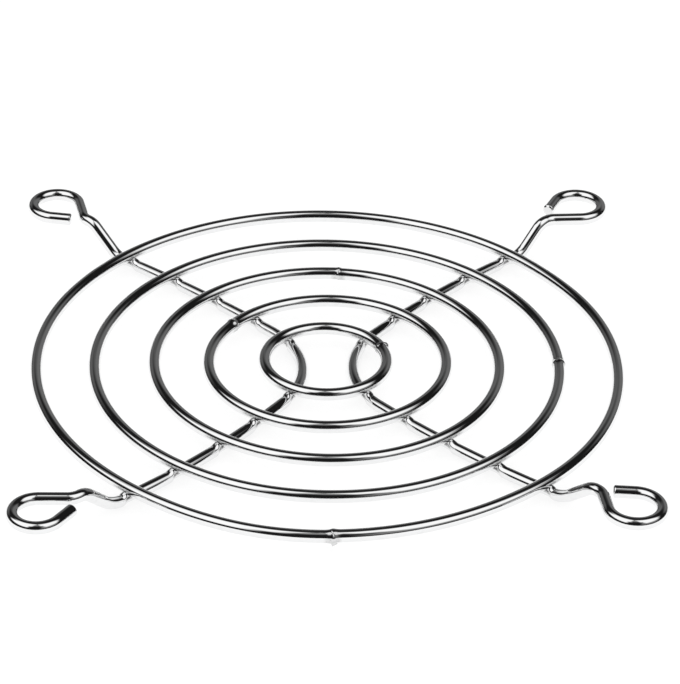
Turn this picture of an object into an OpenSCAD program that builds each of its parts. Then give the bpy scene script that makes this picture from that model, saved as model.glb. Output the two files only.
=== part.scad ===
/* [Wire] */
// Diameter of the wire that every ring and rib is bent from
wire_d = 1.6; // [1:0.1:2.2]
// Depth of the flat that the welding presses into a rib under each ring
press_depth = 0.18; // [0.1:0.02:0.4]
// How far each ring is sunk into that flat
weld_set = 0.08; // [0.05:0.01:0.2]
// Length of the flat along the rib, at its floor
press_len = 3.2; // [2:0.1:5]
// Diameter of the bead where each ring's two ends are butt welded
bead_d = 2; // [1.7:0.05:2.6]

/* [Rings] */
// Outer diameters of the rings, from the innermost to the outermost
ring_d = [17.3, 31.8, 45.8, 61, 76.2]; // [12:0.1:100]
// How far each ring was welded off the middle, to the right, in the same order
ring_right = [-0.1, 0.15, 0.05, 0.05, 0.1]; // [-0.5:0.05:0.5]
// How far each ring was welded off the middle, to the rear, in the same order
ring_rear = [0.4, 0.1, -0.05, -0.3, -0.3]; // [-0.5:0.05:0.5]
// Direction of each ring's butt weld, counter-clockwise from the right
bead_at = [5, 153, 84, 354, 269]; // [0:1:360]

/* [Ribs] */
// Radius of the nose bend of the left rib and the right rib, at the wire's centre
nose_r = [12.8, 13.1]; // [12:0.1:14]
// Furthest that each arm lies from its diagonal: rear right, rear left, front left, front right
arm_off = [2.1, 2, 2.6, 1.65]; // [1:0.05:3.5]
// How far out along the diagonal each arm lies furthest from it, in the same order
arm_crest = [23, 18.5, 27, 21.5]; // [15:0.5:30]
// Radius of each arm's gentle bow, in the same order
bow_r = [130, 200, 110, 145]; // [100:1:300]

/* [Loops] */
// Distance between neighbouring screw holes
hole_pitch = 71.5; // [70:0.1:73]
// Clear diameter inside each loop, in the arms' order
loop_bore = [4.9, 4.7, 4.4, 4.9]; // [4.2:0.1:5.2]
// How far each loop's middle was bent outside its screw hole's place, along its diagonal
loop_out = [-0.4, 0.1, 0.3, 0.15]; // [-0.5:0.05:0.5]
// How far each loop's middle was bent to the left of its diagonal, looking outwards
loop_side = [-0.1, -0.3, 0.55, -0.3]; // [-0.6:0.05:0.6]
// Height of the loops above the ribs, from wire centre to wire centre
loop_lift = 3.7; // [3:0.1:4.5]
// Gap between the outer ring and the foot of the lift
lift_gap = 0; // [0:0.1:0.4]
// Radius of the bend at the foot of each lift, at the wire's centre, in the arms' order
foot_bend_r = [3.6, 3.6, 4.8, 4.8]; // [2:0.1:5]
// Radius of the bend at the top of the lift, at the wire's centre
top_bend_r = 2.2; // [1.4:0.1:2.4]
// Distance along the diagonal from each loop's middle back to its neck, in the arms' order
neck_back = [5.3, 5.2, 5.1, 4.8]; // [4.6:0.1:5.6]
// Radius of the neck's bend, at the wire's centre
neck_bend_r = 2.2; // [1.5:0.1:2.6]
// How far each neck lies to the left of its diagonal, looking outwards, in the arms' order
neck_off = [0.4, -0.6, 1.5, -0.6]; // [-1.5:0.05:2]
// How far past a half turn each loop is closed, in the same order
loop_close = [19, 34, 9.5, 39.5]; // [0:0.5:45]
// Straight length at each loop's open end, in the same order
tail_len = [2.7, 2.7, 3, 2.6]; // [0.5:0.1:3]

/* [Hidden] */
$fn = 64;
wire_r = wire_d / 2;
// Straights and bends stop just short of each other inside a ball that makes them one solid
seam = wire_d / 10;
seam_r = 1.025 * wire_r;
rib_z = seam_r;
ring_z = rib_z + wire_d - press_depth - weld_set;
ring_r = [for (d = ring_d) d / 2 - wire_r];
loop_r = [for (bore = loop_bore) bore / 2 + wire_r];
hole_r = hole_pitch / sqrt(2);
foot_x = ring_d[len(ring_d) - 1] / 2 + lift_gap;
// Corners are numbered counter-clockwise from the rear right one
rear_right = 0;
rear_left = 1;
front_left = 2;
front_right = 3;

function corner_angle(corner) = 45 + 90 * corner;
// An arm lies on the counter-clockwise side of its diagonal at every other corner
function arm_side(corner) = corner % 2 == 0 ? 1 : -1;
function turned(p, a) = [p.x * cos(a) - p.y * sin(a), p.x * sin(a) + p.y * cos(a)];
function direction(p) = atan2(p.y, p.x);

// Centre of an arm's bow, with x along the corner's diagonal, and the same seen from above
function bow_centre(corner) = [arm_crest[corner], arm_side(corner) * (arm_off[corner] - bow_r[corner])];
function bow_in_plan(corner) = turned(bow_centre(corner), corner_angle(corner));

// A rib's nose touches the bows of both its arms from inside
function nose_centre(r, first, second) =
    let (
        a = bow_in_plan(first),
        across = bow_in_plan(second) - a,
        span = norm(across),
        to_a = bow_r[first] - r,
        to_b = bow_r[second] - r,
        along = (span ^ 2 + to_a ^ 2 - to_b ^ 2) / (2 * span)
    )
    a + across / span * along + [across.y, -across.x] / span * sqrt(to_a ^ 2 - along ^ 2);

// The ball that joins two stretches of wire
module seam_ball() {
    sphere(r = seam_r);
}

// A straight stretch along +X, with a seam at its start and, unless it is free, at its end
module straight(length, free = false) {
    translate([seam / 2, 0, 0]) rotate([0, 90, 0])
        cylinder(r = wire_r, h = length - (free ? seam / 2 : seam));
}

// An arc about the origin, counter-clockwise from one direction through an angle, with a seam at each end
module arc(r, from, angle) {
    trim = seam / 2 / r * 180 / PI;
    rotate([0, 0, from + trim])
        rotate_extrude(angle = angle - 2 * trim, $fn = 360) translate([r, 0]) circle(r = wire_r, $fn = 64);
}

// Wire that sets out along +X: each bend is [straight before it, roll, angle, radius]
module bent_wire(bends, last, i = 0) {
    seam_ball();
    if (i == len(bends)) straight(last, free = true);
    else {
        bend = bends[i];
        along = bend[3] * sin(bend[2]);
        across = bend[3] * (1 - cos(bend[2]));
        if (bend[0] > 0) {
            straight(bend[0]);
            translate([bend[0], 0, 0]) seam_ball();
        }
        translate([bend[0], 0, 0]) rotate([bend[1], 0, 0]) {
            translate([0, bend[3], 0]) arc(bend[3], -90, bend[2]);
            translate([along, across, 0]) rotate([0, 0, bend[2]]) rotate([-bend[1], 0, 0])
                bent_wire(bends, last, i + 1);
        }
    }
}

// The lifted end of an arm with its screw loop, from the end of the arm's bow outwards
module loop_end(corner) {
    bow = bow_centre(corner);
    hole = [hole_r + loop_out[corner], loop_side[corner]];
    neck = [hole.x - neck_back[corner], neck_off[corner]];
    bow_turn = asin((foot_x - bow.x) / bow_r[corner]);
    foot = bow + arm_side(corner) * bow_r[corner] * [sin(arm_side(corner) * bow_turn), cos(bow_turn)];
    heading = direction(neck - foot);
    // From the neck the shank runs at a tangent to the loop
    to_hole = hole - neck;
    shank_heading = direction(to_hole) - asin(loop_r[corner] / norm(to_hole));
    neck_turn = heading - shank_heading;
    neck_tangent = neck_bend_r * tan(neck_turn / 2);
    shank = sqrt(norm(to_hole) ^ 2 - loop_r[corner] ^ 2) - neck_tangent;
    // The lift is a straight slope between two bends
    run = norm(neck - foot) - neck_tangent;
    bends_r = foot_bend_r[corner] + top_bend_r;
    slope_len = sqrt(run ^ 2 + loop_lift ^ 2 - 2 * bends_r * loop_lift);
    slope = atan2(loop_lift - bends_r, run) + atan2(bends_r, slope_len);
    translate([foot.x, foot.y, rib_z]) rotate([0, 0, heading])
        bent_wire([
            [0, 90, slope, foot_bend_r[corner]],
            [slope_len, -90, slope, top_bend_r],
            [0, 180, neck_turn, neck_bend_r],
            [shank, 0, 180 + loop_close[corner] - shank_heading, loop_r[corner]]
        ], tail_len[corner]);
}

// A bowed arm from the nose, whose centre is given, to its lifted end
module arm(corner, nose) {
    bow = bow_centre(corner);
    inner = direction(turned(nose, -corner_angle(corner)) - bow);
    outer = arm_side(corner) * (90 - asin((foot_x - bow.x) / bow_r[corner]));
    rotate([0, 0, corner_angle(corner)]) {
        translate([bow.x, bow.y, rib_z]) {
            arc(bow_r[corner], min(inner, outer), abs(inner - outer));
            rotate([0, 0, inner]) translate([bow_r[corner], 0, 0]) seam_ball();
        }
        loop_end(corner);
    }
}

function ring_middle(i) = [ring_right[i], ring_rear[i], 0];

// Room that a ring takes in a rib: its own round seat, and the flat pressed beside it
module weld_seat(r) {
    floor_z = rib_z + wire_r - press_depth;
    top_z = rib_z + wire_d;
    half = press_len / 2;
    flare = top_z - floor_z;
    translate([0, 0, ring_z]) rotate_extrude() translate([r, 0]) circle(r = wire_r);
    rotate_extrude() polygon([
        [r - half, floor_z],
        [r + half, floor_z],
        [r + half + flare, top_z],
        [r - half - flare, top_z]
    ]);
}

// One wire with a loop at each end, from the first corner round its nose to the second
module rib(r, first, second) {
    nose = nose_centre(r, first, second);
    to_first = direction(nose - bow_in_plan(first));
    to_second = direction(nose - bow_in_plan(second));
    color("silver") difference() {
        union() {
            translate([nose.x, nose.y, rib_z]) arc(r, to_second, (to_first - to_second + 360) % 360);
            arm(first, nose);
            arm(second, nose);
        }
        for (i = [0 : len(ring_r) - 1]) translate(ring_middle(i)) weld_seat(ring_r[i]);
    }
}

// One ring with the bead of its butt weld
module ring(i) {
    color("silver") translate(ring_middle(i) + [0, 0, ring_z]) {
        rotate_extrude() translate([ring_r[i], 0]) circle(r = wire_r);
        rotate([0, 0, bead_at[i]]) translate([ring_r[i], 0, 0]) sphere(d = bead_d);
    }
}

ring(0);  // inner_ring
ring(1);  // second_ring
ring(2);  // third_ring
ring(3);  // fourth_ring
ring(4);  // outer_ring
rib(nose_r[0], rear_left, front_left);  // left_rib
rib(nose_r[1], front_right, rear_right);  // right_rib
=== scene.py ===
import math
import bpy
from mathutils import Matrix, Quaternion, Vector


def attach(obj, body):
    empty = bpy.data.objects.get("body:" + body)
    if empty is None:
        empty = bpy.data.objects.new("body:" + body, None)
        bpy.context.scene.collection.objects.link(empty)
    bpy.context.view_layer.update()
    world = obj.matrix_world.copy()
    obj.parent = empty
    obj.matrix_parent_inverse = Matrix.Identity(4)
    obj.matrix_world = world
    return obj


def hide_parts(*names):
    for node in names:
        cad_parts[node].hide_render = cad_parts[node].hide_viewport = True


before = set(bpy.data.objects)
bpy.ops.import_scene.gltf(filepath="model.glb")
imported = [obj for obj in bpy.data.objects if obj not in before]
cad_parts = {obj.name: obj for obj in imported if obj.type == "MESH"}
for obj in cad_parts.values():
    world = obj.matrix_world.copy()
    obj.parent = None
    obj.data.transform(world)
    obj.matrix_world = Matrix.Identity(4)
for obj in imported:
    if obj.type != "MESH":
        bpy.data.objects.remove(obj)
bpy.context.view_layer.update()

mm = 0.001
zAxis = Vector((0, 0, 1))
white = (1, 1, 1, 1)
nodeGrid = {"columns": 8, "across": 220, "down": 320, "left": -1800}  # how a tree's nodes are laid out


# small helpers for objects and node trees

def addObject(name, data):
    obj = bpy.data.objects.new(name, data)
    bpy.context.scene.collection.objects.link(obj)
    return obj


def newTree(name, kind, inputs, outputs):
    # inputs are label, type and default value, outputs are label and type
    tree = bpy.data.node_groups.new(name, kind)
    for label, socketType, value in inputs:
        socket = tree.interface.new_socket(name=label, in_out="INPUT", socket_type="NodeSocket" + socketType)
        if value is not None:
            socket.default_value = value
    for label, socketType in outputs:
        tree.interface.new_socket(name=label, in_out="OUTPUT", socket_type="NodeSocket" + socketType)
    return tree


def floatInputs(values):
    return [(label, "Float", value) for label, value in values.items()]


def connect(tree, node, links):
    # each socket gets a plain value or another node's output
    for key, value in links.items():
        socket = node.inputs[key]
        if isinstance(value, bpy.types.NodeSocket):
            tree.links.new(value, socket)
        else:
            socket.default_value = value


def addNode(tree, kind, links=None, **settings):
    row, column = divmod(len(tree.nodes), nodeGrid["columns"])
    node = tree.nodes.new(kind)
    node.location = (nodeGrid["left"] + nodeGrid["across"] * column, -nodeGrid["down"] * row)
    for key, value in settings.items():
        setattr(node, key, value)
    connect(tree, node, links or {})
    return node


def calc(tree, operation, *values):
    return addNode(tree, "ShaderNodeMath", dict(enumerate(values)), operation=operation).outputs[0]


def vectorCalc(tree, operation, first, second):
    other = "Scale" if operation == "SCALE" else 1
    node = addNode(tree, "ShaderNodeVectorMath", {0: first, other: second}, operation=operation)
    return node.outputs["Value" if operation == "DOT_PRODUCT" else "Vector"]


def joinAxes(tree, x=0, y=0, z=0):
    return addNode(tree, "ShaderNodeCombineXYZ", {0: x, 1: y, 2: z}).outputs[0]


def splitAxes(tree, vector):
    return addNode(tree, "ShaderNodeSeparateXYZ", {0: vector}).outputs


def mapRange(tree, value, start, end, low, high, shape="SMOOTHSTEP"):
    links = {"Value": value, "From Min": start, "From Max": end, "To Min": low, "To Max": high}
    return addNode(tree, "ShaderNodeMapRange", links, interpolation_type=shape).outputs["Result"]


def bell(tree, value, reach):
    # one in the middle, falling off to nothing on both sides
    share = calc(tree, "DIVIDE", value, reach)
    return calc(tree, "EXPONENT", calc(tree, "MULTIPLY", calc(tree, "MULTIPLY", share, share), -1.0))


def setInput(modifier, label, value):
    for item in modifier.node_group.interface.items_tree:
        if item.item_type == "SOCKET" and item.in_out == "INPUT" and item.name == label:
            modifier[item.identifier] = value
            return
    raise KeyError(label)


# the guard's own sizes, in millimetres and degrees
# they repeat the solid model's, but for the butt welds' directions and the bends out of round
wire = {
    "diameter": 1.6,
    "ribHeight": 0.82,  # of the ribs' wire centre above the table
    "pressDepth": 0.18,  # of the flat that welding presses into a rib under each ring
    "weldSet": 0.08,  # how far each ring is sunk into that flat
    "sides": 48,
    "pitch": 0.1,  # longest step between two points of a path
    "slack": 0.01,  # a smaller step or rise counts as none
}
rings = {
    "names": ["inner_ring", "second_ring", "third_ring", "fourth_ring", "outer_ring"],
    "outerDiameters": [17.3, 31.8, 45.8, 61, 76.2],
    "buttWeldAt": [22, 143.5, 84, 359, 269],
    "right": [-0.1, 0.15, 0.05, 0.05, 0.1],  # slip off the middle
    "rear": [0.4, 0.1, -0.05, -0.3, -0.3],
    "ovalStraight": [0, 0.13, 0, 0.05, -0.07],  # out of round, stretched along the axes
    "ovalSlanting": [0, 0.13, -0.09, 0, -0.12],  # and along the diagonals
    # where each bend is, how far it reaches and how far it goes outwards
    "bends": {4: [(258, 20, 0.62), (304, 16, -0.25), (35, 14, -0.22), (90, 25, 0.13)]},
    "bendSlots": 4,  # most bends that one ring can have
    "steps": [480, 640, 800, 1100, 1400],
    "crowding": 0.8,  # how closely the steps crowd together at the butt weld
}
ribs = {
    "noseRadius": {"left_rib": 12.8, "right_rib": 13.1},
    "corners": {"left_rib": (1, 2), "right_rib": (3, 0)},  # numbered counter-clockwise from the rear right
    "armOffset": [2.1, 2, 2.6, 1.65],  # furthest that each arm lies from its diagonal
    "armCrest": [23, 18.5, 27, 21.5],  # and how far out that is
    "bowRadius": [130, 200, 110, 145],
    "endRounding": [0.74, 0.93],  # the last points' share of the wire's radius
}
loops = {
    "holePitch": 71.5,
    "bore": [4.9, 4.7, 4.4, 4.9],
    "outside": [-0.4, 0.1, 0.3, 0.15],  # how far each loop's middle lies outside its screw hole's place
    "side": [-0.1, -0.3, 0.55, -0.3],  # and to the left of its diagonal, looking outwards
    "lift": 3.7,
    "liftGap": 0,
    "footBend": [3.6, 3.6, 4.8, 4.8],
    "topBend": 2.2,
    "neckBack": [5.3, 5.2, 5.1, 4.8],
    "neckBend": 2.2,
    "neckOffset": [0.4, -0.6, 1.5, -0.6],
    "closing": [19, 34, 9.5, 39.5],  # past a half turn
    "tail": [2.7, 2.7, 3, 2.6],
}

wireRadius = wire["diameter"] / 2
ribHeight = wire["ribHeight"]
ringHeight = ribHeight + wire["diameter"] - wire["pressDepth"] - wire["weldSet"]
ringRadii = [d / 2 - wireRadius for d in rings["outerDiameters"]]
ringMiddles = [Vector(place) for place in zip(rings["right"], rings["rear"])]
holeRadius = loops["holePitch"] / math.sqrt(2)
footX = rings["outerDiameters"][-1] / 2 + loops["liftGap"]


def ringRadiusAt(i, angle):
    bent = 0
    for at, reach, out in rings["bends"].get(i, []):
        away = (angle - at + 180) % 360 - 180
        bent += out * math.exp(-(away / reach) ** 2)
    twice = 2 * math.radians(angle)
    straight = rings["ovalStraight"][i] * math.cos(twice)
    slanting = rings["ovalSlanting"][i] * math.sin(twice)
    return ringRadii[i] + straight + slanting + bent


def turned(point, degrees):
    return Matrix.Rotation(math.radians(degrees), 2) @ Vector(point[:2])


def headingOf(vector):
    return math.degrees(math.atan2(vector.y, vector.x))


def cornerAngle(corner):
    return 45 + 90 * corner


def armSide(corner):
    # an arm lies on the counter-clockwise side of its diagonal at every other corner
    return 1 if corner % 2 == 0 else -1


def bowCentre(corner):
    # in the corner's own frame, with x along the diagonal
    across = ribs["armOffset"][corner] - ribs["bowRadius"][corner]
    return Vector((ribs["armCrest"][corner], armSide(corner) * across))


def bowInPlan(corner):
    return turned(bowCentre(corner), cornerAngle(corner))


def noseCentre(radius, first, second):
    # the nose touches the bows of both its arms from inside
    a = bowInPlan(first)
    across = bowInPlan(second) - a
    span = across.length
    toA = ribs["bowRadius"][first] - radius
    toB = ribs["bowRadius"][second] - radius
    along = (span ** 2 + toA ** 2 - toB ** 2) / (2 * span)
    sideways = Vector((across.y, -across.x)) / span * math.sqrt(toA ** 2 - along ** 2)
    return a + across / span * along + sideways


def arcPoints(centre, radius, start, end):
    count = max(2, math.ceil(abs(math.radians(end - start)) * radius / wire["pitch"]))
    points = []
    for i in range(count + 1):
        a = math.radians(start + (end - start) * i / count)
        points.append(Vector((centre.x + radius * math.cos(a), centre.y + radius * math.sin(a), ribHeight)))
    return points


def bendWire(start, heading, steps):
    # each step is a straight length, or a bend: the way it turns, its angle and its radius
    place = Vector(start)
    forward = Vector((math.cos(math.radians(heading)), math.sin(math.radians(heading)), 0))
    points = []
    for step in steps:
        if isinstance(step, tuple):
            way, angle, radius = step
            level = Vector((forward.x, forward.y, 0)).normalized()
            axes = {"left": zAxis, "right": -zAxis, "up": level.cross(zAxis), "down": zAxis.cross(level)}
            axis = axes[way]
            centre = place + axis.cross(forward) * radius
            count = max(2, math.ceil(math.radians(angle) * radius / wire["pitch"]))
            for i in range(1, count + 1):
                turn = Quaternion(axis, math.radians(angle) * i / count)
                points.append(centre + turn @ (place - centre))
            forward = turn @ forward
        else:
            count = max(1, math.ceil(step / wire["pitch"]))
            points += [place + forward * step * i / count for i in range(1, count + 1)]
        place = points[-1]
    return points


def loopEnd(corner):
    # from the foot of the lift to the cut end, in the corner's own frame
    bow, side, bowRadius = bowCentre(corner), armSide(corner), ribs["bowRadius"][corner]
    hole = Vector((holeRadius + loops["outside"][corner], loops["side"][corner]))
    neck = Vector((hole.x - loops["neckBack"][corner], loops["neckOffset"][corner]))
    loopRadius = loops["bore"][corner] / 2 + wireRadius
    bowTurn = math.asin((footX - bow.x) / bowRadius)
    foot = bow + side * bowRadius * Vector((math.sin(side * bowTurn), math.cos(bowTurn)))
    heading = headingOf(neck - foot)
    # from the neck the shank runs at a tangent to the loop
    toHole = hole - neck
    shankHeading = headingOf(toHole) - math.degrees(math.asin(loopRadius / toHole.length))
    neckTurn = heading - shankHeading
    neckTangent = loops["neckBend"] * math.tan(math.radians(neckTurn / 2))
    shank = math.sqrt(toHole.length ** 2 - loopRadius ** 2) - neckTangent
    # the lift is a straight slope between two bends
    run = (neck - foot).length - neckTangent
    bends = loops["footBend"][corner] + loops["topBend"]
    slopeLength = math.sqrt(run ** 2 + loops["lift"] ** 2 - 2 * bends * loops["lift"])
    slope = math.degrees(math.atan2(loops["lift"] - bends, run) + math.atan2(bends, slopeLength))
    return bendWire((foot.x, foot.y, ribHeight), heading, [
        ("up", slope, loops["footBend"][corner]),
        slopeLength,
        ("down", slope, loops["topBend"]),
        ("right", neckTurn, loops["neckBend"]),
        shank,
        ("left", 180 + loops["closing"][corner] - shankHeading, loopRadius),
        loops["tail"][corner],
    ])


def armPath(corner, nose):
    # a bowed arm from the nose outwards, with its lift and loop
    bow, bowRadius, angle = bowCentre(corner), ribs["bowRadius"][corner], cornerAngle(corner)
    inner = headingOf(turned(nose, -angle) - bow)
    outer = armSide(corner) * (90 - math.degrees(math.asin((footX - bow.x) / bowRadius)))
    points = arcPoints(bow, bowRadius, inner, outer) + loopEnd(corner)
    turn = Matrix.Rotation(math.radians(angle), 3, "Z")
    return [turn @ p for p in points]


def ribPath(name):
    first, second = ribs["corners"][name]
    radius = ribs["noseRadius"][name]
    nose = noseCentre(radius, first, second)
    start = headingOf(nose - bowInPlan(first))
    end = headingOf(nose - bowInPlan(second))
    middle = arcPoints(nose, radius, start, start - (start - end) % 360)
    return armPath(first, nose)[::-1] + middle[1:-1] + armPath(second, nose)


def weldCrossings(points):
    # where a rib passes under each ring
    found = []
    for a, b in zip(points, points[1:]):
        if max(a.z, b.z) > ribHeight + wire["slack"]:
            continue
        for i, middle in enumerate(ringMiddles):
            fromA, fromB = (a.xy - middle).length, (b.xy - middle).length
            radius = ringRadiusAt(i, headingOf(a.xy - middle))
            if (fromA - radius) * (fromB - radius) <= 0 and fromA != fromB:
                found.append(a.lerp(b, (radius - fromA) / (fromB - fromA)))
    return found


print("wire paths")
paths = {name: ribPath(name) for name in ribs["corners"]}
crossings = {name: weldCrossings(points) for name, points in paths.items()}
print("welds:", {name: len(found) for name, found in crossings.items()})

weldMesh = bpy.data.meshes.new("weldPlaces")
weldMesh.from_pydata([place * mm for found in crossings.values() for place in found], [], [])
weldPlaces = addObject("weldPlaces", weldMesh)


# chrome plating: depths are in metres, and noise runs over the millimetres of the straightened wire
chromeLook = {
    "colour": (0.87, 0.872, 0.875, 1),
    "stainAndShadeColour": (0.06, 0.06, 0.06, 1),
    "roughness": 0.028,
    "stainRoughness": 0.25,
    "mottleScale": 0.9,
    "mottleNoise": {"Detail": 4.0, "Roughness": 0.6},
    "mottleRange": (0.5, 0.8),
    "mottleStrength": 0.06,
    "lineStretch": 0.02,
    "lineNoise": {"Scale": 9.0, "Detail": 2.0},
    "lineDepth": 0.0000012,
    "pitNoise": {"Scale": 4.5, "Detail": 3.0},
    "pitRange": (0.4, 0.6),
    "weakestPit": 0.6,
    "pitDepth": 0.000006,
}
platingValues = {
    "Mottle Scale": chromeLook["mottleScale"],
    "Line Depth": chromeLook["lineDepth"],
    "Pit Depth": chromeLook["pitDepth"],
}


def platingGroup():
    # drawing lines along the wire, cloudy plating, and the duller pitted skin round a weld, whose darkening
    # is painted shade in the corners between wires and a real stain at a ring's butt weld
    tree = newTree("plating", "ShaderNodeTree",
        [("Wire Place", "Vector", (0, 0, 0)), ("Weld", "Float", 0.0)] + floatInputs(platingValues),
        [("Stain And Shade", "Float"), ("Height", "Float")])
    source = addNode(tree, "NodeGroupInput").outputs
    place, weldShadeAndStain = source["Wire Place"], source["Weld"]
    drawn = vectorCalc(tree, "MULTIPLY", place, (1, 1, chromeLook["lineStretch"]))
    lines = addNode(tree, "ShaderNodeTexNoise", {"Vector": drawn, **chromeLook["lineNoise"]}).outputs[0]
    cloud = addNode(tree, "ShaderNodeTexNoise",
        {"Vector": place, "Scale": source["Mottle Scale"], **chromeLook["mottleNoise"]}).outputs[0]
    pits = addNode(tree, "ShaderNodeTexNoise", {"Vector": place, **chromeLook["pitNoise"]}).outputs[0]
    cloudy = mapRange(tree, cloud, *chromeLook["mottleRange"], 0.0, chromeLook["mottleStrength"])
    spotted = mapRange(tree, pits, *chromeLook["pitRange"], chromeLook["weakestPit"], 1.0)
    stainAndShade = calc(tree, "MAXIMUM", cloudy, calc(tree, "MULTIPLY", spotted, weldShadeAndStain))
    fine = calc(tree, "MULTIPLY", lines, source["Line Depth"])
    rough = calc(tree, "MULTIPLY", calc(tree, "MULTIPLY", pits, weldShadeAndStain), source["Pit Depth"])
    addNode(tree, "NodeGroupOutput", {"Stain And Shade": stainAndShade, "Height": calc(tree, "ADD", fine, rough)})
    return tree


def chromePlate():
    material = bpy.data.materials.new("chromePlate")
    material.use_nodes = True
    tree = material.node_tree
    wirePlace = addNode(tree, "ShaderNodeAttribute", attribute_name="wirePlace").outputs["Vector"]
    # the mark of the real weld stains and of the painted shade in the corners between wires
    weldShadeAndStain = addNode(tree, "ShaderNodeAttribute", attribute_name="nearWeld").outputs["Fac"]
    plating = addNode(tree, "ShaderNodeGroup", node_tree=platingGroup())
    connect(tree, plating, {"Wire Place": wirePlace, "Weld": weldShadeAndStain, **platingValues})
    stainAndShade, height = plating.outputs["Stain And Shade"], plating.outputs["Height"]
    # the dark colour stands both for real stains and for painted shade in the corners between wires
    tint = {0: stainAndShade, 6: chromeLook["colour"], 7: chromeLook["stainAndShadeColour"]}  # share and the two colours
    colour = addNode(tree, "ShaderNodeMix", tint, data_type="RGBA").outputs[2]
    dull = mapRange(tree, stainAndShade, 0.0, 1.0, chromeLook["roughness"], chromeLook["stainRoughness"], "LINEAR")
    bump = addNode(tree, "ShaderNodeBump", {"Height": height, "Distance": 1.0, "Strength": 1.0})
    connect(tree, tree.nodes["Principled BSDF"],
        {"Base Color": colour, "Roughness": dull, "Normal": bump.outputs["Normal"], "Metallic": 1})
    return material


chrome = chromePlate()


# painted shade in the corners where rib and ring meet, and the real dark stain at each ring's butt weld, with
# their reaches in millimetres
weldStainsAndShade = {
    "ribReach": 1.35,
    "ringShadeReach": 2.8,
    "ribSlopes": (0.2, 0.6),  # the sides of the wire that take the painted corner shade, from level at 0 to facing up at 1
    "ringShadeSlopes": (0.0, 0.5),
    "slopeFade": 0.25,
    "fadeFrom": 0.45,  # share of its reach at which a stain or the painted shade starts to fade
    "buttReach": 1.2,
    "buttStrength": 0.3,
}


def capture(tree, geometry, value, label, kind="FLOAT"):
    node = addNode(tree, "GeometryNodeCaptureAttribute")
    node.capture_items.new(kind, label)
    connect(tree, node, {"Geometry": geometry, label: value})
    return node.outputs["Geometry"], node.outputs[label]


def store(tree, geometry, name, value, kind):
    node = addNode(tree, "GeometryNodeStoreNamedAttribute", data_type=kind, domain="POINT")
    connect(tree, node, {"Geometry": geometry, "Name": name, "Value": value})
    return node.outputs["Geometry"]


def wireSweep(tree, curve, sides, tapered=False):
    # draws the round wire along a curve, and notes in millimetres each point's place on the straightened wire
    length = addNode(tree, "GeometryNodeSplineParameter").outputs["Length"]
    curve, along = capture(tree, curve, length, "Along Wire")
    profile = addNode(tree, "GeometryNodeCurvePrimitiveCircle",
        {"Resolution": sides, "Radius": wireRadius * mm}).outputs["Curve"]
    section = addNode(tree, "GeometryNodeInputPosition").outputs[0]
    profile, section = capture(tree, profile, section, "Section", "VECTOR")
    sweep = addNode(tree, "GeometryNodeCurveToMesh",
        {"Curve": curve, "Profile Curve": profile, "Fill Caps": True})
    if tapered:
        connect(tree, sweep, {"Scale": addNode(tree, "GeometryNodeInputRadius").outputs[0]})
    place = vectorCalc(tree, "ADD", section, joinAxes(tree, z=along))
    place = vectorCalc(tree, "SCALE", place, 1 / mm)
    return store(tree, sweep.outputs["Mesh"], "wirePlace", place, "FLOAT_VECTOR")


def weldDistance(tree, welds):
    points = addNode(tree, "GeometryNodeObjectInfo", {"Object": welds}, transform_space="RELATIVE")
    return addNode(tree, "GeometryNodeProximity",
        {"Geometry": points.outputs["Geometry"]}, target_element="POINTS").outputs["Distance"]


def nearness(tree, distance, reach):
    return mapRange(tree, distance, reach * weldStainsAndShade["fadeFrom"], reach, 1.0, 0.0)


def paintedCornerShade(tree, distance, reach, lowest, highest):
    # painted shade: a darker corner between the two wires, on the sides whose slope lies between the two
    up = splitAxes(tree, addNode(tree, "GeometryNodeInputNormal").outputs[0])[2]
    fade = weldStainsAndShade["slopeFade"]
    low = mapRange(tree, up, highest - fade, highest, 1.0, 0.0, "LINEAR")
    high = mapRange(tree, up, lowest - fade, lowest, 0.0, 1.0, "LINEAR")
    return calc(tree, "MULTIPLY", nearness(tree, distance, reach), calc(tree, "MULTIPLY", low, high))


def finishWire(tree, mesh, near, material):
    # near marks the real weld stain and the painted shade in the corners between wires
    marked = store(tree, mesh, "nearWeld", near, "FLOAT")
    smooth = addNode(tree, "GeometryNodeSetShadeSmooth", {"Geometry": marked, "Shade Smooth": True})
    real = addNode(tree, "GeometryNodeRealizeInstances", {"Geometry": smooth.outputs["Geometry"]})
    coat = addNode(tree, "GeometryNodeSetMaterial",
        {"Geometry": real.outputs["Geometry"], "Material": material})
    addNode(tree, "NodeGroupOutput", {"Geometry": coat.outputs["Geometry"]})


# the weld draws the rib up to its ring in a short knuckle, in millimetres
knuckle = {
    "rise": 0.26,
    "waist": 0.1,
    "halfLength": 0.35,
    "ramp": 1.2,
}
knuckleSizes = {
    "Rise": knuckle["rise"] * mm,
    "Waist": knuckle["waist"] * mm,
    "Half Length": knuckle["halfLength"] * mm,
    "Ramp": knuckle["ramp"] * mm,
}


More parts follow.
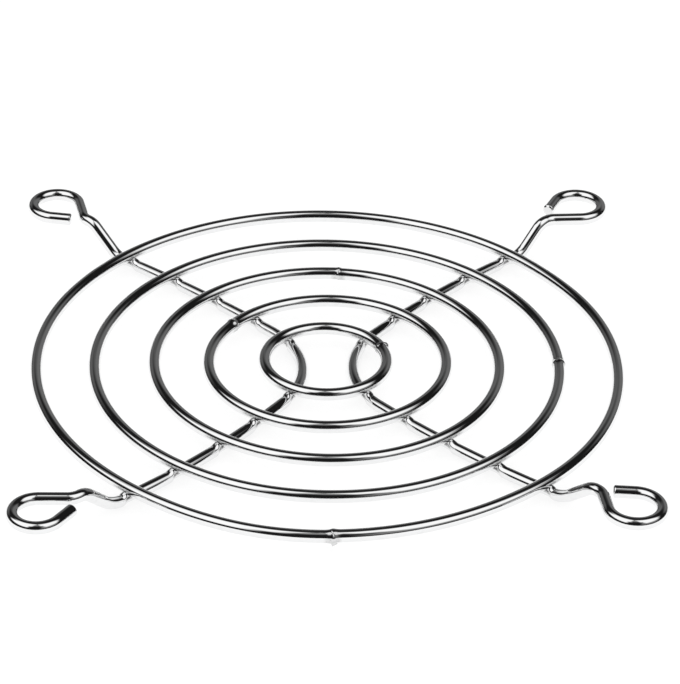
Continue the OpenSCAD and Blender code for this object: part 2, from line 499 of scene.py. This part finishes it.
def knuckleGroup():
    # "Distance" is measured from the middle of the crossing
    tree = newTree("weldKnuckle", "GeometryNodeTree",
        [("Geometry", "Geometry", None), ("Distance", "Float", 0.0)] + floatInputs(knuckleSizes),
        [("Geometry", "Geometry")])
    source = addNode(tree, "NodeGroupInput").outputs
    reach = calc(tree, "ADD", source["Half Length"], source["Ramp"])
    drawn = mapRange(tree, source["Distance"], source["Half Length"], reach, 1.0, 0.0, "SMOOTHERSTEP")
    up = joinAxes(tree, z=calc(tree, "MULTIPLY", drawn, source["Rise"]))
    level = vectorCalc(tree, "MULTIPLY", addNode(tree, "GeometryNodeInputNormal").outputs[0], (1, 1, 0))
    inwards = calc(tree, "MULTIPLY", drawn, calc(tree, "MULTIPLY", source["Waist"], -1.0))
    offset = vectorCalc(tree, "ADD", up, vectorCalc(tree, "SCALE", level, inwards))
    moved = addNode(tree, "GeometryNodeSetPosition", {"Geometry": source["Geometry"], "Offset": offset})
    addNode(tree, "NodeGroupOutput", {"Geometry": moved.outputs["Geometry"]})
    return tree


def ribTree():
    # a rib's wire along its path, with a knuckle at each crossing
    tree = newTree("bentRib", "GeometryNodeTree",
        [("Geometry", "Geometry", None), ("Welds", "Object", None), ("Sides", "Int", wire["sides"])]
        + floatInputs(knuckleSizes) + [("Material", "Material", None)],
        [("Geometry", "Geometry")])
    source = addNode(tree, "NodeGroupInput").outputs
    curve, near = capture(tree, source["Geometry"], weldDistance(tree, source["Welds"]), "Distance")
    mesh = wireSweep(tree, curve, source["Sides"], tapered=True)
    drawn = addNode(tree, "GeometryNodeGroup", node_tree=knuckleGroup())
    connect(tree, drawn, {"Geometry": mesh, "Distance": near})
    connect(tree, drawn, {label: source[label] for label in knuckleSizes})
    # painted shade in the corner beside each ring
    corner = paintedCornerShade(tree, near, weldStainsAndShade["ribReach"] * mm, *weldStainsAndShade["ribSlopes"])
    finishWire(tree, drawn.outputs["Geometry"], corner, source["Material"])
    return tree


# each ring's butt weld, in millimetres
buttWelds = {
    "bead": [0.05, 0.09, 0.02, 0.06, 0.09],
    "beadReach": [0.3, 0.4, 0.3, 0.3, 0.5],
    "flash": [0.24, 0.3, 0.08, 0.06, 0.5],
    "flashReach": 0.13,
    # the side that the flash stands on: outwards, along and up
    "flashSide": [(1, 0, 0.2), (0.4, 0, -0.9), (0, 0, 1), (0.3, 0, 0.9), (0.45, 0, -0.8)],
    "flashSharpness": 3,
    "stepOut": [0.03, -0.04, 0.03, 0.02, -0.03],  # how far the two ends miss each other
    "stepUp": [0, 0.03, 0.02, -0.02, 0.02],
    "stepReach": 2.5,
}


def ringCourse(tree, source):
    # the ring's line, bent a little out of round, and each point's way along it from the butt weld
    circle = addNode(tree, "GeometryNodeCurvePrimitiveCircle",
        {"Resolution": source["Steps"], "Radius": source["Ring Radius"]}).outputs["Curve"]
    index = addNode(tree, "GeometryNodeInputIndex").outputs[0]
    done = calc(tree, "DIVIDE", calc(tree, "ADD", index, 0.5), source["Steps"])
    share = calc(tree, "SUBTRACT", calc(tree, "MULTIPLY", done, 2.0), 1.0)
    # the points crowd together at the butt weld
    crowding = rings["crowding"]
    closer = calc(tree, "MULTIPLY_ADD", calc(tree, "MULTIPLY", share, share), crowding, 1 - crowding)
    away = calc(tree, "MULTIPLY", calc(tree, "MULTIPLY", share, closer), math.pi)
    angle = calc(tree, "ADD", away, source["Butt Weld At"])
    along = calc(tree, "MULTIPLY", away, source["Ring Radius"])
    twice = calc(tree, "MULTIPLY", angle, 2.0)
    straight = calc(tree, "MULTIPLY", calc(tree, "COSINE", twice), source["Oval Straight"])
    slanting = calc(tree, "MULTIPLY", calc(tree, "SINE", twice), source["Oval Slanting"])
    bent = calc(tree, "ADD", straight, slanting)
    for n in range(rings["bendSlots"]):
        at, reach, out = splitAxes(tree, source["Bend %d" % n])
        off = calc(tree, "WRAP", calc(tree, "SUBTRACT", angle, at), math.pi, -math.pi)
        bent = calc(tree, "MULTIPLY_ADD", bell(tree, off, reach), out, bent)
    # the two ends miss each other a little, one to each side
    stepShare = calc(tree, "DIVIDE", calc(tree, "ABSOLUTE", along), source["Step Reach"])
    remaining = calc(tree, "EXPONENT", calc(tree, "MULTIPLY", stepShare, -1.0))
    miss = calc(tree, "MULTIPLY", calc(tree, "SIGN", along), remaining)
    outwards = calc(tree, "MULTIPLY_ADD", miss, source["Step Out"], bent)
    radius = calc(tree, "ADD", source["Ring Radius"], outwards)
    place = joinAxes(tree,
        calc(tree, "MULTIPLY", radius, calc(tree, "COSINE", angle)),
        calc(tree, "MULTIPLY", radius, calc(tree, "SINE", angle)),
        calc(tree, "MULTIPLY", miss, source["Step Up"]))
    circle, along = capture(tree, circle, along, "Along")
    course = addNode(tree, "GeometryNodeSetPosition", {"Geometry": circle, "Position": place})
    return course.outputs["Geometry"], along


def buttWeldLump(tree, source, along):
    # a low bead all round the wire and a thin fin of flash on one side of it
    normal = addNode(tree, "GeometryNodeInputNormal").outputs[0]
    side = addNode(tree, "ShaderNodeVectorRotate",
        {"Vector": source["Flash Side"], "Angle": source["Butt Weld At"]}, rotation_type="Z_AXIS").outputs[0]
    facing = calc(tree, "MAXIMUM", vectorCalc(tree, "DOT_PRODUCT", normal, side), 0.0)
    fin = calc(tree, "MULTIPLY", calc(tree, "POWER", facing, buttWelds["flashSharpness"]), source["Flash"])
    bead = calc(tree, "MULTIPLY", bell(tree, along, source["Bead Reach"]), source["Bead"])
    flash = calc(tree, "MULTIPLY", bell(tree, along, source["Flash Reach"]), fin)
    return vectorCalc(tree, "SCALE", normal, calc(tree, "ADD", bead, flash))


def ringTree():
    sizes = ["Ring Radius", "Butt Weld At", "Oval Straight", "Oval Slanting",
             "Bead", "Bead Reach", "Flash", "Flash Reach", "Step Out", "Step Up", "Step Reach"]
    # each bend is where it is, how far it reaches and how far it goes outwards
    bends = [("Bend %d" % n, "Vector", (0, 1, 0)) for n in range(rings["bendSlots"])]
    tree = newTree("weldedRing", "GeometryNodeTree",
        [("Geometry", "Geometry", None), *floatInputs(dict.fromkeys(sizes, 0.0)), *bends,
         ("Flash Side", "Vector", (0, 0, -1)), ("Middle", "Vector", (0, 0, 0)),
         ("Steps", "Int", rings["steps"][0]), ("Sides", "Int", wire["sides"]),
         ("Welds", "Object", None), ("Material", "Material", None)],
        [("Geometry", "Geometry")])
    source = addNode(tree, "NodeGroupInput").outputs
    course, along = ringCourse(tree, source)
    mesh = wireSweep(tree, course, source["Sides"])
    beaded = addNode(tree, "GeometryNodeSetPosition",
        {"Geometry": mesh, "Offset": buttWeldLump(tree, source, along)}).outputs["Geometry"]
    raised = addNode(tree, "GeometryNodeTransform",
        {"Geometry": beaded, "Translation": source["Middle"]}).outputs["Geometry"]
    near = weldDistance(tree, source["Welds"])
    # painted shade in the corner beside each rib, joined below with the real stain at the butt weld
    corner = paintedCornerShade(tree, near, weldStainsAndShade["ringShadeReach"] * mm, *weldStainsAndShade["ringShadeSlopes"])
    atButt = nearness(tree, calc(tree, "ABSOLUTE", along), weldStainsAndShade["buttReach"] * mm)
    butt = calc(tree, "MULTIPLY", atButt, weldStainsAndShade["buttStrength"])
    finishWire(tree, raised, calc(tree, "MAXIMUM", corner, butt), source["Material"])
    return tree


def makePiece(seed, tree, values, node):
    # runs the tree on its seed object and keeps the result as a plain mesh in the node's place
    modifier = seed.modifiers.new("wire", "NODES")
    modifier.node_group = tree
    for label, value in values.items():
        setInput(modifier, label, value)
    name = node.replace("_rib", "Rib").replace("_ring", "Ring")
    depsgraph = bpy.context.evaluated_depsgraph_get()
    mesh = bpy.data.meshes.new_from_object(seed.evaluated_get(depsgraph))
    mesh.name = name
    piece = addObject(name, mesh)
    bpy.data.objects.remove(seed)
    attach(piece, "root")
    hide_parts(node)


def pathCurve(name, points):
    data = bpy.data.curves.new(name, "CURVE")
    data.dimensions = "3D"
    spline = data.splines.new("POLY")
    kept = [points[0]] + [b for a, b in zip(points, points[1:]) if (b - a).length > wire["slack"]]
    spline.points.add(len(kept) - 1)
    for target, point in zip(spline.points, kept):
        target.co = (point.x * mm, point.y * mm, point.z * mm, 1)
        target.radius = 1
    for i, share in enumerate(ribs["endRounding"]):  # cropped ends, a little rounded
        spline.points[i].radius = share
        spline.points[-1 - i].radius = share
    return addObject(name, data)


shared = {"Welds": weldPlaces, "Sides": wire["sides"], "Material": chrome}

print("ribs")
ribNodes = ribTree()
for name, points in paths.items():
    makePiece(pathCurve(name + "_path", points), ribNodes, {**shared, **knuckleSizes}, name)

print("rings")
ringNodes = ringTree()
ringLengths = {  # one for each ring
    "Ring Radius": ringRadii,
    "Oval Straight": rings["ovalStraight"],
    "Oval Slanting": rings["ovalSlanting"],
    "Bead": buttWelds["bead"],
    "Bead Reach": buttWelds["beadReach"],
    "Flash": buttWelds["flash"],
    "Step Out": buttWelds["stepOut"],
    "Step Up": buttWelds["stepUp"],
}
for i, name in enumerate(rings["names"]):
    values = {label: lengths[i] * mm for label, lengths in ringLengths.items()}
    for n, (at, reach, out) in enumerate(rings["bends"].get(i, [])):
        values["Bend %d" % n] = (math.radians(at), math.radians(reach), out * mm)
    values["Butt Weld At"] = math.radians(rings["buttWeldAt"][i])
    values["Flash Side"] = buttWelds["flashSide"][i]
    values["Flash Reach"] = buttWelds["flashReach"] * mm
    values["Step Reach"] = buttWelds["stepReach"] * mm
    values["Middle"] = tuple(c * mm for c in (*ringMiddles[i], ringHeight))
    values["Steps"] = rings["steps"][i]
    seed = addObject(name + "_seed", bpy.data.meshes.new(name + "_seed"))
    makePiece(seed, ringNodes, {**shared, **values}, name)

bpy.data.objects.remove(weldPlaces)


# the studio: a white table, and soft patches of light that only the chrome reflects
studio = {
    "turn": 2.8,
    "floorSize": 3.0,
    "floorColour": (0.95, 0.95, 0.95, 1),
    "floorGlow": 0.66,
    "floorWhite": 1.12,
    "light": 1.05,
    "reflectedLevel": 1.15,
    "darkest": 0.009,
}
noEdge = 120  # past every elevation, so the patch has no edge there
lightPatches = {  # azimuth, half width, side softness, lower and upper edge, their softness, brightness
    "leftPanel": (-163, 42, 8, 31, noEdge, 6, 0.97),
    "leftTop": (-168, 58, 12, 53, noEdge, 8, 0.9),
    "rightPanelFoot": (-26, 30, 8, 32, 52, 6, 0.9),
    "rightPanel": (-20, 39, 8, 43, noEdge, 6, 0.95),
    "rightTop": (-20, 49, 10, 56, noEdge, 8, 0.9),
    "rightLow": (-40, 30, 10, 15, 40, 4, 0.2),
    "frontLow": (-100, 62, 18, -noEdge, 8, 6, 0.05),
    "frontTop": (-90, 60, 16, 62, noEdge, 8, 0.2),
    "backRight": (70, 36, 14, -noEdge, 34, 8, 0.13),
    "backLeft": (108, 34, 20, -noEdge, 30, 8, 0.1),
    "backTop": (85, 60, 18, 66, noEdge, 12, 0.05),
}
patchInputs = ["Centre", "Half Width", "Side Softness", "Lower", "Upper", "Edge Softness", "Brightness"]


def patchGroup():
    # one patch of light, with all its angles in degrees
    tree = newTree("lightPatch", "ShaderNodeTree",
        floatInputs(dict.fromkeys(["Azimuth", "Elevation"] + patchInputs, 0.0)), [("Value", "Float")])
    source = addNode(tree, "NodeGroupInput").outputs
    away = calc(tree, "WRAP", calc(tree, "SUBTRACT", source["Azimuth"], source["Centre"]), 180.0, -180.0)

    def fade(value, edge, softness, inside, outside):
        start = calc(tree, "SUBTRACT", edge, softness)
        end = calc(tree, "ADD", edge, softness)
        return mapRange(tree, value, start, end, inside, outside)

    sides = fade(calc(tree, "ABSOLUTE", away), source["Half Width"], source["Side Softness"], 1.0, 0.0)
    rise = fade(source["Elevation"], source["Lower"], source["Edge Softness"], 0.0, 1.0)
    fall = fade(source["Elevation"], source["Upper"], source["Edge Softness"], 1.0, 0.0)
    bright = calc(tree, "MULTIPLY", fall, source["Brightness"])
    value = calc(tree, "MULTIPLY", calc(tree, "MULTIPLY", sides, rise), bright)
    addNode(tree, "NodeGroupOutput", {"Value": value})
    return tree


def reflectedLight(tree):
    # the brightest patch in each direction
    seen = addNode(tree, "ShaderNodeTexCoord").outputs["Generated"]
    turn = addNode(tree, "ShaderNodeVectorRotate",
        {"Vector": seen, "Angle": math.radians(studio["turn"])}, rotation_type="Z_AXIS").outputs[0]
    x, y, z = splitAxes(tree, turn)
    azimuth = calc(tree, "DEGREES", calc(tree, "ARCTAN2", y, x))
    elevation = calc(tree, "DEGREES", calc(tree, "ARCSINE", z))
    group = patchGroup()
    total = studio["darkest"]
    for values in lightPatches.values():
        patch = addNode(tree, "ShaderNodeGroup", node_tree=group)
        connect(tree, patch, {"Azimuth": azimuth, "Elevation": elevation, **dict(zip(patchInputs, values))})
        total = calc(tree, "MAXIMUM", total, patch.outputs["Value"])
    return calc(tree, "MULTIPLY", total, studio["reflectedLevel"])


def studioWorld():
    # the camera sees plain white, the chrome sees the patches, and everything else gets even light
    world = bpy.data.worlds.new("studio")
    bpy.context.scene.world = world
    world.use_nodes = True
    tree = world.node_tree
    tree.nodes.clear()
    path = addNode(tree, "ShaderNodeLightPath").outputs
    reflected = addNode(tree, "ShaderNodeBackground", {"Color": reflectedLight(tree), "Strength": 1.0})
    even = addNode(tree, "ShaderNodeBackground", {"Color": white, "Strength": studio["light"]})
    backdrop = addNode(tree, "ShaderNodeBackground", {"Color": white, "Strength": 1.0})
    glossy = addNode(tree, "ShaderNodeMixShader",
        {0: path["Is Glossy Ray"], 1: even.outputs[0], 2: reflected.outputs[0]})
    camera = addNode(tree, "ShaderNodeMixShader",
        {0: path["Is Camera Ray"], 1: glossy.outputs[0], 2: backdrop.outputs[0]})
    addNode(tree, "ShaderNodeOutputWorld", {"Surface": camera.outputs[0]})


def whiteTable():
    # lifted to white for the camera and for reflections, but still with the guard's shadow
    material = bpy.data.materials.new("whiteTable")
    material.use_nodes = True
    tree = material.node_tree
    tree.nodes.clear()
    matt = addNode(tree, "ShaderNodeBsdfDiffuse", {"Color": studio["floorColour"]})
    glow = addNode(tree, "ShaderNodeEmission", {"Color": white, "Strength": studio["floorWhite"]})
    path = addNode(tree, "ShaderNodeLightPath").outputs
    seen = calc(tree, "MAXIMUM", path["Is Camera Ray"], path["Is Glossy Ray"])
    share = calc(tree, "MULTIPLY", seen, studio["floorGlow"])
    mixed = addNode(tree, "ShaderNodeMixShader", {0: share, 1: matt.outputs[0], 2: glow.outputs[0]})
    addNode(tree, "ShaderNodeOutputMaterial", {"Surface": mixed.outputs[0]})
    return material


def floorSheet():
    half = studio["floorSize"] / 2
    corners = [(-half, -half, 0), (half, -half, 0), (half, half, 0), (-half, half, 0)]
    mesh = bpy.data.meshes.new("floor")
    mesh.from_pydata(corners, [], [(0, 1, 2, 3)])
    mesh.materials.append(whiteTable())
    addObject("floor", mesh)


view = {
    "lens": 178.95,
    "sensor": 36,
    "distance": 440.4,
    "elevation": 32.4,
    "turn": -2.8,
    "roll": 1.25,
    "lookAt": (1.92, 4.92, 2.13),
    "clip": (0.01, 10),  # in metres
}


def placeCamera():
    elevation, turn, roll = (math.radians(view[k]) for k in ("elevation", "turn", "roll"))
    spin = Matrix.Rotation(turn, 3, "Z")
    back = spin @ Vector((0, -math.cos(elevation), math.sin(elevation)))
    level = spin @ Vector((1, 0, 0))
    upward = back.cross(level)
    right = math.cos(roll) * level + math.sin(roll) * upward
    up = back.cross(right)
    pose = Matrix((right, up, back)).transposed().to_4x4()
    pose.translation = (Vector(view["lookAt"]) + back * view["distance"]) * mm
    data = bpy.data.cameras.new("camera")
    data.lens = view["lens"]
    data.sensor_width = view["sensor"]
    data.clip_start, data.clip_end = view["clip"]
    camera = addObject("camera", data)
    camera.matrix_world = pose
    bpy.context.scene.camera = camera


print("studio")
studioWorld()
floorSheet()
placeCamera()
bpy.context.scene.view_settings.view_transform = "Standard"
